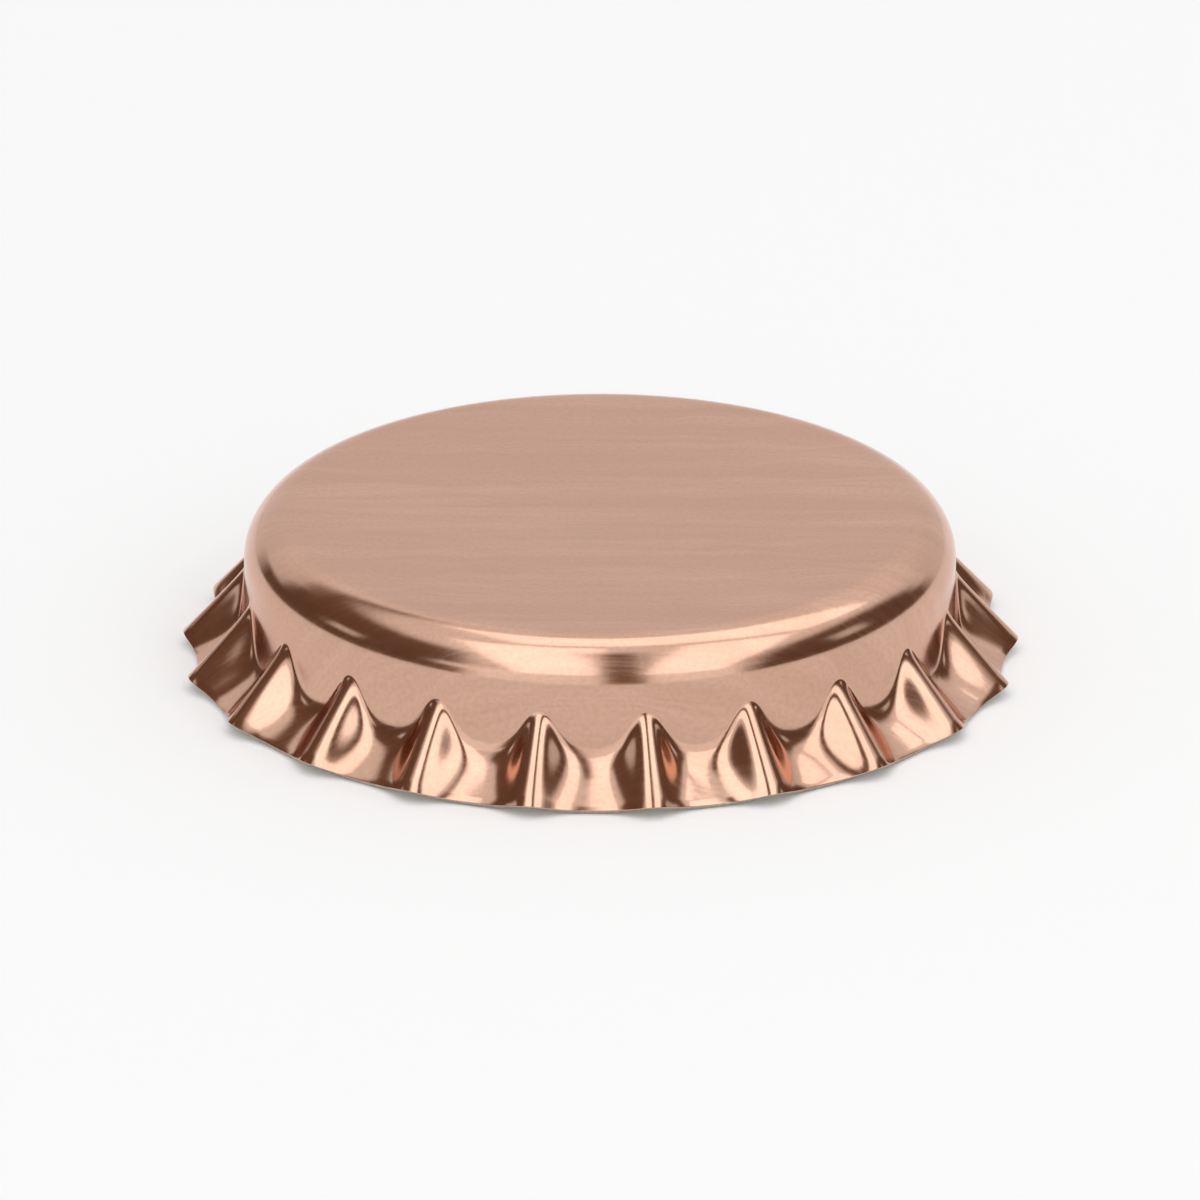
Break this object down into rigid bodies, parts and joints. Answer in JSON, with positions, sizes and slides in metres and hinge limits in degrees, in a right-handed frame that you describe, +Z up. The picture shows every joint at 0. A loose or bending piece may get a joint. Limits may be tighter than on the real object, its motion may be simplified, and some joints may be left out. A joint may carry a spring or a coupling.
{
  "type": "crown bottle cap",
  "caption": "Pressed metal crown cap with a flat panel, a rounded shoulder, a fluted skirt and a moulded sealing liner inside.",
  "frame": {"origin": "on the surface the cap rests on, under the middle of the panel", "axes": "+Z up the cap's axis, out through the top panel; a crest lies on +Y and a valley on -Y"},
  "size_m": [0.032, 0.0319, 0.006],
  "materials": {
    "lacquered_tinplate": "satin rose-gold lacquer over rolled tinplate",
    "liner_compound": "moulded milky sealing compound"
  },
  "bodies": {
    "root": {"crown_shell": "lacquered_tinplate", "sealing_liner": "liner_compound"}
  },
  "joints": []
}
